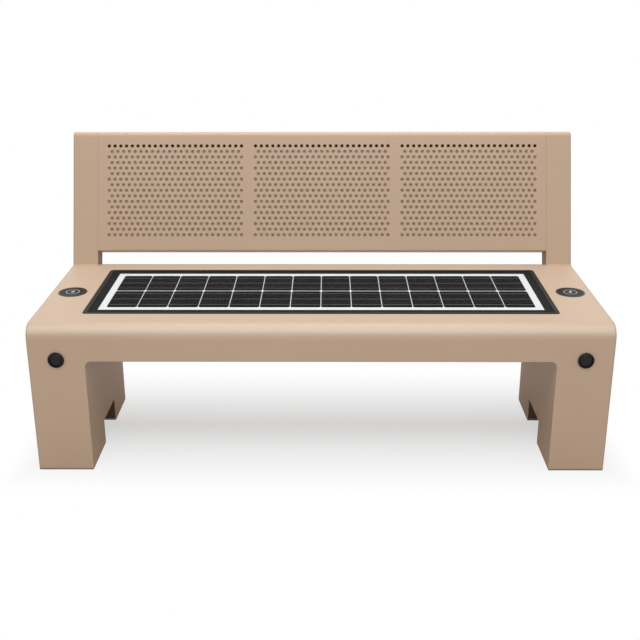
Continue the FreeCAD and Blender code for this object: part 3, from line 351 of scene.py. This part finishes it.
# %% White backsheet film
backsheet, tree, shader, place = new_finish("white_backsheet_film", "#E2E4E5", 0.4)
shader.inputs["Specular IOR Level"].default_value = 0.05
vary(tree, shader, "Base Color", grain(tree, place, 25), "#E0E2E3", "#E4E6E7")
bumped(tree, shader, grain(tree, place, 1.6), 0.02, 0.3)

# %% [markdown]
# ## Silicon cells
#
# Each cell is a slice of silicon with a dark coat, so cells from one batch differ a little in
# shade. Silver fingers about two millimetres apart run across the ribbons. They are finer than
# a pixel in the main view, so they are drawn 0.3 mm wide and only a little lighter.

# %% Dark silicon cells
cell_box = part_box("solar_cells")
gap_x, gap_y = 0.0023, 0.005
cells_across, cell_rows = 14, 2
cell_step_x = (cell_box[1].x - cell_box[0].x + gap_x) / cells_across
cell_step_y = (cell_box[1].y - cell_box[0].y + gap_y) / cell_rows
finger_spacing, finger_width = 0.002, 0.0003
silicon, tree, shader, place = new_finish("coated_silicon_cell", "#181A1C", 0.6)
shader.inputs["Specular IOR Level"].default_value = 0.0
# Each cell gets a number from its place, and its shade from that number.
from_corner = add_node(tree, "ShaderNodeVectorMath", {0: place}, operation="SUBTRACT")
from_corner.inputs[1].default_value = (cell_box[0].x - gap_x / 2, cell_box[0].y - gap_y / 2, 0)
in_cells = add_node(tree, "ShaderNodeVectorMath", {0: from_corner.outputs[0]}, operation="DIVIDE")
in_cells.inputs[1].default_value = (cell_step_x, cell_step_y, 1)
cell_number = add_node(tree, "ShaderNodeVectorMath", {0: in_cells.outputs[0]}, operation="FLOOR")
batch = {"Vector": cell_number.outputs[0]}
batch = add_node(tree, "ShaderNodeTexWhiteNoise", batch).outputs["Value"]
cell_colour = between(tree, batch, "#151719", "#1B1D1F", 0.0, 1.0)
along = add_node(tree, "ShaderNodeSeparateXYZ", {"Vector": from_corner.outputs[0]}).outputs["X"]
past_finger = {0: along, 1: finger_spacing}
past_finger = add_node(tree, "ShaderNodeMath", past_finger, operation="MODULO").outputs[0]
on_finger = {0: past_finger, 1: finger_width}
finger = add_node(tree, "ShaderNodeMath", on_finger, operation="LESS_THAN").outputs[0]
finger_mix = add_node(tree, "ShaderNodeMix", data_type="RGBA")
tree.links.new(finger, finger_mix.inputs[0])
tree.links.new(cell_colour, finger_mix.inputs[6])
finger_mix.inputs[7].default_value = linear("#282A2D")
tree.links.new(finger_mix.outputs[2], shader.inputs["Base Color"])

# %% Tinned ribbon
tinned, tree, shader, place = new_finish("tinned_copper_ribbon", "#707274", 0.5, 0.5)
vary(tree, shader, "Roughness", grain(tree, place, 4), 0.35, 0.55)

# %% [markdown]
# ## Plastics and rubber
#
# The sockets, the caps and the pads' housings are moulded in black polycarbonate blend. The
# mould is spark-eroded, which leaves a fine matt grain. The pads' discs are smoother, so that a
# phone slides on. The seals are rubber, duller than any plastic.

# %% Moulded black plastic
black_plastic, tree, shader, place = new_finish("moulded_black_polycarbonate", "#131415", 0.32)
shader.inputs["Specular IOR Level"].default_value = 0.35
vary(tree, shader, "Roughness", grain(tree, place, 0.9), 0.28, 0.38)
vary(tree, shader, "Base Color", grain(tree, place, 30), "#111213", "#161718")
bumped(tree, shader, grain(tree, place, 0.7, 3.0), 0.03, 0.35)

# %% Satin pad disc
pad_disc, tree, shader, place = new_finish("satin_black_pad_disc", "#1C1C1D", 0.45)
shader.inputs["Specular IOR Level"].default_value = 0.1
vary(tree, shader, "Roughness", grain(tree, place, 0.6), 0.34, 0.46)
vary(tree, shader, "Base Color", grain(tree, place, 18), "#1A1A1B", "#1F1F20")
bumped(tree, shader, grain(tree, place, 0.5), 0.01, 0.25)

# %% Printed sign ink
sign_ink, tree, shader, place = new_finish("printed_sign_ink", "#C9CCCD", 0.5)
vary(tree, shader, "Base Color", grain(tree, place, 1.5), "#BFC3C4", "#D0D3D4")

# %% Sealing rubber
rubber, tree, shader, place = new_finish("sealing_rubber", "#1C1C1D", 0.8)
vary(tree, shader, "Roughness", grain(tree, place, 2), 0.72, 0.88)
bumped(tree, shader, grain(tree, place, 0.8), 0.04, 0.5)

# %% [markdown]
# ## Things inside
#
# The battery, the controller, the coils and the board under the module are closed in, but they
# get their real finishes too, for anyone who takes a cover off.

# %% Sealed plywood
plywood, tree, shader, place = new_finish("sealed_birch_plywood", "#B8946A", 0.6)
along_the_grain = {"Vector": place, "Scale": (0.06, 1.0, 1.0)}
stretched = add_node(tree, "ShaderNodeMapping", along_the_grain).outputs["Vector"]
vary(tree, shader, "Base Color", grain(tree, stretched, 9, 4.0), "#A9845B", "#C3A077")
bumped(tree, shader, grain(tree, stretched, 3), 0.05, 0.5)

# %% Enamelled copper wire
copper, tree, shader, place = new_finish("enamelled_copper_wire", "#B56A3C", 0.3, 1.0)
coil_radius, wire_width, wire_depth_mm = 0.028, 0.0012, 0.6
coil_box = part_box("charger_coils")
coil_x = coil_box[1].x - coil_radius
coil_y = abs(coil_box[0].y + coil_box[1].y) / 2
# The two coils mirror each other, so the place is folded over the bench's middle first.
folded = add_node(tree, "ShaderNodeVectorMath", {0: place}, operation="ABSOLUTE").outputs[0]
coil_parts = add_node(tree, "ShaderNodeSeparateXYZ", {"Vector": folded})
to_middle = {0: coil_parts.outputs["X"], 1: coil_x}
from_x = add_node(tree, "ShaderNodeMath", to_middle, operation="SUBTRACT")
to_middle = {0: coil_parts.outputs["Y"], 1: coil_y}
from_y = add_node(tree, "ShaderNodeMath", to_middle, operation="SUBTRACT")
flat_place = {"X": from_x.outputs[0], "Y": from_y.outputs[0]}
flat_place = add_node(tree, "ShaderNodeCombineXYZ", flat_place).outputs[0]
radius = add_node(tree, "ShaderNodeVectorMath", {0: flat_place}, operation="LENGTH")
winding = {0: radius.outputs["Value"], 1: wire_width}
winding = add_node(tree, "ShaderNodeMath", winding, operation="PINGPONG").outputs[0]
vary(tree, shader, "Base Color", winding, "#7A3F1E", "#C67C4A", 0.0, 0.0008)
bumped(tree, shader, winding, wire_depth_mm, 0.6)

# %% Green circuit board
board, tree, shader, place = new_finish("green_circuit_board", "#1F5A35", 0.35)
tracks = add_node(tree, "ShaderNodeTexBrick", {"Vector": place, "Scale": 1000 / 6}, offset=0.5)
tracks.inputs["Color1"].default_value = linear("#1F5A35")
tracks.inputs["Color2"].default_value = linear("#23653C")
tracks.inputs["Mortar"].default_value = linear("#3E7D4E")
tree.links.new(tracks.outputs["Color"], shader.inputs["Base Color"])

# %% Battery case and controller case
battery_case, tree, shader, place = new_finish("moulded_battery_case", "#3C4650", 0.5)
vary(tree, shader, "Base Color", grain(tree, place, 40), "#39434D", "#414B56")
bumped(tree, shader, grain(tree, place, 1.2), 0.04, 0.4)
controller_case, tree, shader, place = new_finish("cast_aluminium_case", "#8B8D8F", 0.5, 1.0)
vary(tree, shader, "Base Color", grain(tree, place, 5), "#808284", "#97999B")
bumped(tree, shader, grain(tree, place, 1.0), 0.05, 0.5)

# %% [markdown]
# ## Dressing the frame
#
# The record names a material slot for each part of the bench. Each slot gets its finish here,
# apart from a few sheets, whose coat carries painted highlight or painted shade as told above.

# %% Give each part its finish
own_coats = {"seat_shell": seat_coat_painted_highlight, "backrest_liners": liner_painted_shade_coat, "foot_plates": ground_painted_shade_coat}
for side in ("left", "right"):
    own_coats[side + "_notch_liner"] = notch_painted_shade_coat
    own_coats[side + "_post_inner_plate"] = liner_painted_shade_coat
finishes = {
    "powder_coat": powder_coat,
    "galvanised_steel": galvanised,
    "stainless_fasteners": stainless,
    "black_anodised_frame": black_anodised,
    "module_glass": module_glass,
    "white_backsheet": backsheet,
    "silicon_cells": silicon,
    "tinned_ribbon": tinned,
    "black_rubber": rubber,
    "support_ply": plywood,
    "black_plastic": black_plastic,
    "charger_disc": pad_disc,
    "copper_coil": copper,
    "circuit_board": board,
    "battery_case": battery_case,
    "controller_case": controller_case,
}
for part in frame["record"]["subparts"]:
    mesh = frame["nodes"][part["node"]].data
    mesh.materials.clear()
    mesh.materials.append(own_coats.get(part["node"], finishes[part["material_slot"]]))
print("dressed", len(frame["nodes"]), "parts,", len(own_coats), "of them in coats of their own")

# %% [markdown]
# ## Finishing a modelled piece
#
# Each piece is modelled near the world's middle and then put in place. Its place is applied to
# its mesh, so that its object sits unturned at the origin like the bench's own parts, and it
# rides on the body that carries it.

# %% Piece helpers
def finished(piece, name, material, body="bench"):
    """Moves a piece's place into its mesh and gives it a name, a finish and a body."""
    bpy.ops.object.select_all(action="DESELECT")
    piece.select_set(True)
    bpy.context.view_layer.objects.active = piece
    bpy.ops.object.transform_apply(location=True, rotation=True, scale=True)
    piece.name = name
    piece.data.name = name
    piece.data.materials.clear()
    piece.data.materials.append(material)
    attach(piece, body)
    print(name, len(piece.data.polygons), "faces")
    return piece


def edit_select(piece, mode, test):
    """Selects, in edit mode, the faces, edges or corners of a piece that pass a test."""
    bpy.ops.object.mode_set(mode="OBJECT")
    mesh = piece.data
    for group in (mesh.vertices, mesh.edges, mesh.polygons):
        group.foreach_set("select", [False] * len(group))
    items = {"VERT": mesh.vertices, "EDGE": mesh.edges, "FACE": mesh.polygons}[mode]
    for item in items:
        item.select = test(item)
    bpy.ops.object.mode_set(mode="EDIT")
    bpy.context.tool_settings.mesh_select_mode = (mode == "VERT", mode == "EDGE", mode == "FACE")


def copied(piece, matrix):
    """A copy with its own mesh, moved as a matrix says."""
    twin = piece.copy()
    twin.data = piece.data.copy()
    bpy.context.scene.collection.objects.link(twin)
    twin.data.transform(matrix)
    return twin


def joined(parts):
    """All the parts as one object, the first of them."""
    bpy.ops.object.select_all(action="DESELECT")
    for part in parts:
        part.select_set(True)
    bpy.context.view_layer.objects.active = parts[0]
    bpy.ops.object.join()
    return parts[0]


# %% [markdown]
# ## Signs on the charging pads
#
# A pad is marked where the phone's middle goes. The sign here is a plain ring with a lightning
# bolt in it, printed in pale ink. A print has no height to speak of, so it is a shape a twentieth
# of a millimetre thick: a circle whose inside is inset and taken away for the ring, and a
# seven-cornered face, moved corner by corner, for the bolt.

# %% Pad signs
pad_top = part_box("right_charger_pad")[1].z
bolt_corners = [
    (0.7, 5.2), (-3.0, -0.9), (-0.5, -0.9), (-1.2, -5.2), (3.0, 0.9), (0.5, 0.9), (2.6, 5.2),
]
bolt_unit = 0.0021
ring_outer, ring_width, ink_height = 0.0205, 0.0016, 0.00005


def print_ring():
    bpy.ops.mesh.primitive_circle_add(vertices=96, radius=ring_outer, fill_type="NGON")
    ring = bpy.context.object
    bpy.ops.object.mode_set(mode="EDIT")
    bpy.ops.mesh.inset(thickness=ring_width)
    bpy.ops.mesh.delete(type="FACE")
    bpy.ops.object.mode_set(mode="OBJECT")
    return ring


def print_bolt():
    bpy.ops.mesh.primitive_circle_add(vertices=7, radius=0.005, fill_type="NGON")
    bolt = bpy.context.object
    starts = [vertex.co.copy() for vertex in bolt.data.vertices]
    for index, corner in enumerate(bolt_corners):
        edit_select(bolt, "VERT", lambda vertex: vertex.index == index)
        goal = Vector((corner[0], corner[1], 0)) * bolt_unit
        bpy.ops.transform.translate(value=goal - starts[index])
    bpy.ops.object.mode_set(mode="OBJECT")
    return bolt


for side in ("left", "right"):
    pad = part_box(side + "_charger_pad")
    sign = joined([print_ring(), print_bolt()])
    thick = sign.modifiers.new("ink", "SOLIDIFY")
    thick.thickness = ink_height
    thick.offset = 1.0
    bpy.ops.object.modifier_apply(modifier="ink")
    sign.location = ((pad[0].x + pad[1].x) / 2, (pad[0].y + pad[1].y) / 2, pad_top)
    finished(sign, side + "_pad_sign", sign_ink)

# %% [markdown]
# ## Socket-head screws
#
# The covers are held by button-head screws with a six-sided socket. From a step away the eye
# reads a screw by the dark socket and the soft shoulder round it. One head is a cylinder whose
# rim is bevelled and whose socket is cut by a six-sided prism, and the rest are copies of it.

# %% One screw head
head_radius, head_height, shoulder = 0.0055, 0.003, 0.0016
key_width, key_depth = 0.004, 0.0018
bpy.ops.mesh.primitive_cylinder_add(vertices=32, radius=head_radius, depth=head_height,
                                    location=(0, 0, head_height / 2))
screw_head = bpy.context.object
bpy.ops.object.transform_apply(location=True)
edit_select(screw_head, "EDGE", lambda edge: all(
    screw_head.data.vertices[v].co.z > head_height * 0.9 for v in edge.vertices))
bpy.ops.mesh.bevel(offset=shoulder, segments=4, affect="EDGES")
bpy.ops.object.mode_set(mode="OBJECT")
bpy.ops.mesh.primitive_cylinder_add(vertices=6, radius=key_width / math.sqrt(3),
                                    depth=key_depth * 2, location=(0, 0, head_height))
key = bpy.context.object
bpy.context.view_layer.objects.active = screw_head
cut = screw_head.modifiers.new("key", "BOOLEAN")
cut.operation = "DIFFERENCE"
cut.object = key
bpy.ops.object.modifier_apply(modifier="key")
bpy.data.objects.remove(key)
bpy.ops.object.select_all(action="DESELECT")
screw_head.select_set(True)
bpy.ops.object.shade_smooth_by_angle(angle=math.radians(35))
print("screw head", len(screw_head.data.polygons), "faces")

# %% Where the screws sit
leg_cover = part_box("right_leg_rear_cover")
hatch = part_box("service_cover")
rear_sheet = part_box("backrest_rear_sheet")
inset, hatch_inset = 0.014, 0.008
above_ground, below_cover_top = 0.025, 0.034
outer_rib_inset, inner_rib_x = 0.0125, 0.243
sheet_thickness, back_lean = 0.003, math.radians(20.4)
screw_seats = []
for sign_x in (-1, 1):
    for x in (leg_cover[0].x + inset, leg_cover[1].x - inset):
        for z in (above_ground, leg_cover[1].z - below_cover_top):
            screw_seats.append((Vector((sign_x * x, leg_cover[1].y, z)), Vector((0, 1, 0))))
for x in (hatch[0].x + hatch_inset, 0, hatch[1].x - hatch_inset):
    for y in (hatch[0].y + hatch_inset, hatch[1].y - hatch_inset):
        screw_seats.append((Vector((x, y, hatch[0].z)), Vector((0, 0, -1))))
up_back = Vector((0, math.sin(back_lean), math.cos(back_lean)))
behind = Vector((0, math.cos(back_lean), -math.sin(back_lean)))
edge_drop = sheet_thickness * math.sin(back_lean)
rear_top = Vector((0, rear_sheet[1].y, rear_sheet[1].z - edge_drop))
sheet_height = (rear_sheet[1].z - rear_sheet[0].z - edge_drop) / math.cos(back_lean)
outer_rib_x = rear_sheet[1].x - outer_rib_inset
for x in (-outer_rib_x, -inner_rib_x, inner_rib_x, outer_rib_x):
    for down in (inset, sheet_height / 2, sheet_height - inset):
        point = rear_top - up_back * down
        screw_seats.append((Vector((x, point.y, point.z)), behind))
print("screws", len(screw_seats))

# %% Copy the heads to their seats
heads = []
for number, (seat, way) in enumerate(screw_seats):
    # Each head stops at another angle, as tightened screws do.
    turn = Matrix.Rotation(math.radians(37 * number), 4, "Z")
    facing_out = way.to_track_quat("Z", "Y").to_matrix().to_4x4()
    heads.append(copied(screw_head, Matrix.Translation(seat) @ facing_out @ turn))
bpy.data.objects.remove(screw_head)
cover_heads = finished(joined(heads), "cover_screw_heads", stainless)
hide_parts("cover_screws")

# %% [markdown]
# ## Inside the charging ports
#
# A raised dust cap shows a wide and a narrow port. Each has a thin steel shell, and in it a
# tongue that carries flat contacts. A shell is a block whose front face is inset by the steel's
# thickness and pushed back. The tongue and the contacts are thin blocks with rounded edges.

# %% Port finishes
tongue_plastic, tree, shader, place = new_finish("moulded_tongue_plastic", "#2A2B2C", 0.5)
vary(tree, shader, "Base Color", grain(tree, place, 1.2), "#272829", "#2D2E2F")
contact_gold, tree, shader, place = new_finish("gold_plated_contacts", "#C9A45A", 0.3, 1.0)
vary(tree, shader, "Roughness", grain(tree, place, 0.7), 0.24, 0.36)


# %% Port pieces
def port_block(size, place, rounding):
    """A block whose edges that run into the port are rounded."""
    bpy.ops.mesh.primitive_cube_add(size=1, location=place)
    piece = bpy.context.object
    piece.scale = size
    bpy.ops.object.transform_apply(location=False, rotation=False, scale=True)
    corners = piece.data.vertices

    def runs_inwards(edge):
        run = corners[edge.vertices[0]].co - corners[edge.vertices[1]].co
        return abs(run.x) < 1e-6 and abs(run.z) < 1e-6

    edit_select(piece, "EDGE", runs_inwards)
    bpy.ops.mesh.bevel(offset=rounding, segments=3, affect="EDGES")
    bpy.ops.object.mode_set(mode="OBJECT")
    return piece


def port_shell(width, height, depth, place):
    """A thin steel box, open at the front, that fits its opening with a little play."""
    play, wall, rounding = 0.00005, 0.0003, 0.0008
    shell = port_block((width - 2 * play, depth - play, height - 2 * play), place, rounding)
    edit_select(shell, "FACE", lambda face: face.normal.y < -0.9)
    bpy.ops.mesh.inset(thickness=wall)
    bpy.ops.mesh.extrude_region_move(TRANSFORM_OT_translate={"value": (0, depth - 3 * wall, 0)})
    bpy.ops.object.mode_set(mode="OBJECT")
    return shell


# %% Both sides' ports
wide_port = {
    "size": (0.0126, 0.0052, 0.013),
    "rise": 0.005,
    "tongue": (0.0111, 0.0018),
    "tongue_rise": 0.0009,
    "contacts": 4,
}
narrow_port = {
    "size": (0.0092, 0.0034, 0.008),
    "rise": -0.005,
    "tongue": (0.0067, 0.0007),
    "tongue_rise": 0,
    "contacts": 6,
}
# Lengths into the port, as shares of its depth.
tongue_length, tongue_centre, contact_length = 0.8, 0.56, 0.66
contact_height, contact_rounding = 0.0001, 0.00002
for side in ("left", "right"):
    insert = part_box(side + "_usb_insert")
    insert_x = (insert[0].x + insert[1].x) / 2
    insert_z = (insert[0].z + insert[1].z) / 2
    shells, tongues, contacts = [], [], []
    for port in (wide_port, narrow_port):
        width, height, depth = port["size"]
        wide, thick = port["tongue"]
        middle = Vector((insert_x, insert[0].y, insert_z + port["rise"]))
        shells.append(port_shell(width, height, depth, middle + Vector((0, depth / 2, 0))))
        tongue_middle = middle + Vector((0, tongue_centre * depth, port["tongue_rise"]))
        tongue_size = (wide, tongue_length * depth, thick)
        tongues.append(port_block(tongue_size, tongue_middle, 0.2 * thick))
        step = wide / (port["contacts"] + 0.5)
        contact_size = (0.5 * step, contact_length * depth, contact_height)
        for number in range(port["contacts"]):
            shift = (number - (port["contacts"] - 1) / 2) * step
            contact_middle = tongue_middle - Vector((shift, 0, (thick + contact_height) / 2))
            contacts.append(port_block(contact_size, contact_middle, contact_rounding))
    finished(joined(shells), side + "_port_shells", stainless)
    finished(joined(tongues), side + "_port_tongues", tongue_plastic)
    finished(joined(contacts), side + "_port_contacts", contact_gold)

# %% [markdown]
# ## Floor, backdrop and light
#
# The bench stands in a plain white studio. The floor is a large grey plane that takes the
# bench's soft shadow. To the eye it is part white close to the bench and all white further out,
# as a paper roll under its own lights is, and the backdrop is as white. That white also shows
# through the module's glass, and it lights nothing. Reflections see the white backdrop, but the
# floor as the plain grey that it is, or the legs' inner sides would look too pale.
#
# There are three soft boxes. The strongest hangs behind and over the seat: it makes the seat the
# brightest face, draws the bright band along the front bend and leaves the leaning back darker.
# A weaker one, high in front, widens that band. A third one stands low behind the camera and
# fills the front faces, and an even world light does the rest.

# %% Floor
bpy.ops.mesh.primitive_plane_add(size=24)
floor = bpy.context.object
floor.name = "studio_floor"
floor_paint, tree, shader, place = new_finish("studio_floor_paper", "#C8C8C8", 0.9)
shader.inputs["Specular IOR Level"].default_value = 0.0
least_white, grey_middle_y = 0.58, -0.09
whitens_along, whitens_across = (0.72, 0.92), (0.02, 0.43)
parts_of_place = add_node(tree, "ShaderNodeSeparateXYZ", {"Vector": place}).outputs
along = add_node(tree, "ShaderNodeMath", {0: parts_of_place["X"]}, operation="ABSOLUTE").outputs[0]
across = {0: parts_of_place["Y"], 1: grey_middle_y}
across = add_node(tree, "ShaderNodeMath", across, operation="SUBTRACT").outputs[0]
across = add_node(tree, "ShaderNodeMath", {0: across}, operation="ABSOLUTE").outputs[0]
white_share = {
    0: between(tree, along, least_white, 1.0, *whitens_along),
    1: between(tree, across, least_white, 1.0, *whitens_across),
}
white_share = add_node(tree, "ShaderNodeMath", white_share, operation="MAXIMUM").outputs[0]
whiteness = {0: white_share, 1: rays_of(tree, "Is Camera Ray", "Is Transmission Ray")}
whiteness = add_node(tree, "ShaderNodeMath", whiteness, operation="MULTIPLY").outputs[0]
paper_white = add_node(tree, "ShaderNodeEmission", {"Color": (1, 1, 1, 1), "Strength": 1.0})
floor_mix = {0: whiteness, 1: shader.outputs[0], 2: paper_white.outputs[0]}
floor_mix = add_node(tree, "ShaderNodeMixShader", floor_mix)
tree.links.new(floor_mix.outputs[0], tree.nodes["Material Output"].inputs["Surface"])
floor.data.materials.append(floor_paint)

# %% World
studio = bpy.data.worlds.new("white_studio")
bpy.context.scene.world = studio
studio.use_nodes = True
tree = studio.node_tree
tree.nodes.clear()
fill = add_node(tree, "ShaderNodeBackground", {"Color": (1, 1, 1, 1), "Strength": 0.64})
white = add_node(tree, "ShaderNodeBackground", {"Color": (1, 1, 1, 1), "Strength": 1.0})
white_rays = rays_of(tree, "Is Camera Ray", "Is Transmission Ray", "Is Glossy Ray")
shown = {0: white_rays, 1: fill.outputs[0], 2: white.outputs[0]}
shown = add_node(tree, "ShaderNodeMixShader", shown).outputs[0]
add_node(tree, "ShaderNodeOutputWorld", {"Surface": shown})


# %% Soft boxes
def soft_box(name, place, aim, width, height, watts):
    """A rectangular lamp that stands at a place and faces a point."""
    data = bpy.data.lights.new(name, "AREA")
    data.shape = "RECTANGLE"
    data.size = width
    data.size_y = height
    data.energy = watts
    box = bpy.data.objects.new(name, data)
    bpy.context.scene.collection.objects.link(box)
    box.location = place
    box.rotation_euler = (Vector(aim) - Vector(place)).to_track_quat("-Z", "Y").to_euler()


soft_box("rear_box", (0, 0.8, 2.9), (0, -0.05, 0.4), 2.8, 0.8, 38)
soft_box("brow_box", (0, -1.6, 2.4), (0, -0.39, 0.42), 2.8, 0.9, 14)
soft_box("front_box", (0, -4.2, 0.6), (0, 0, 0.3), 3.6, 1.2, 18.5)
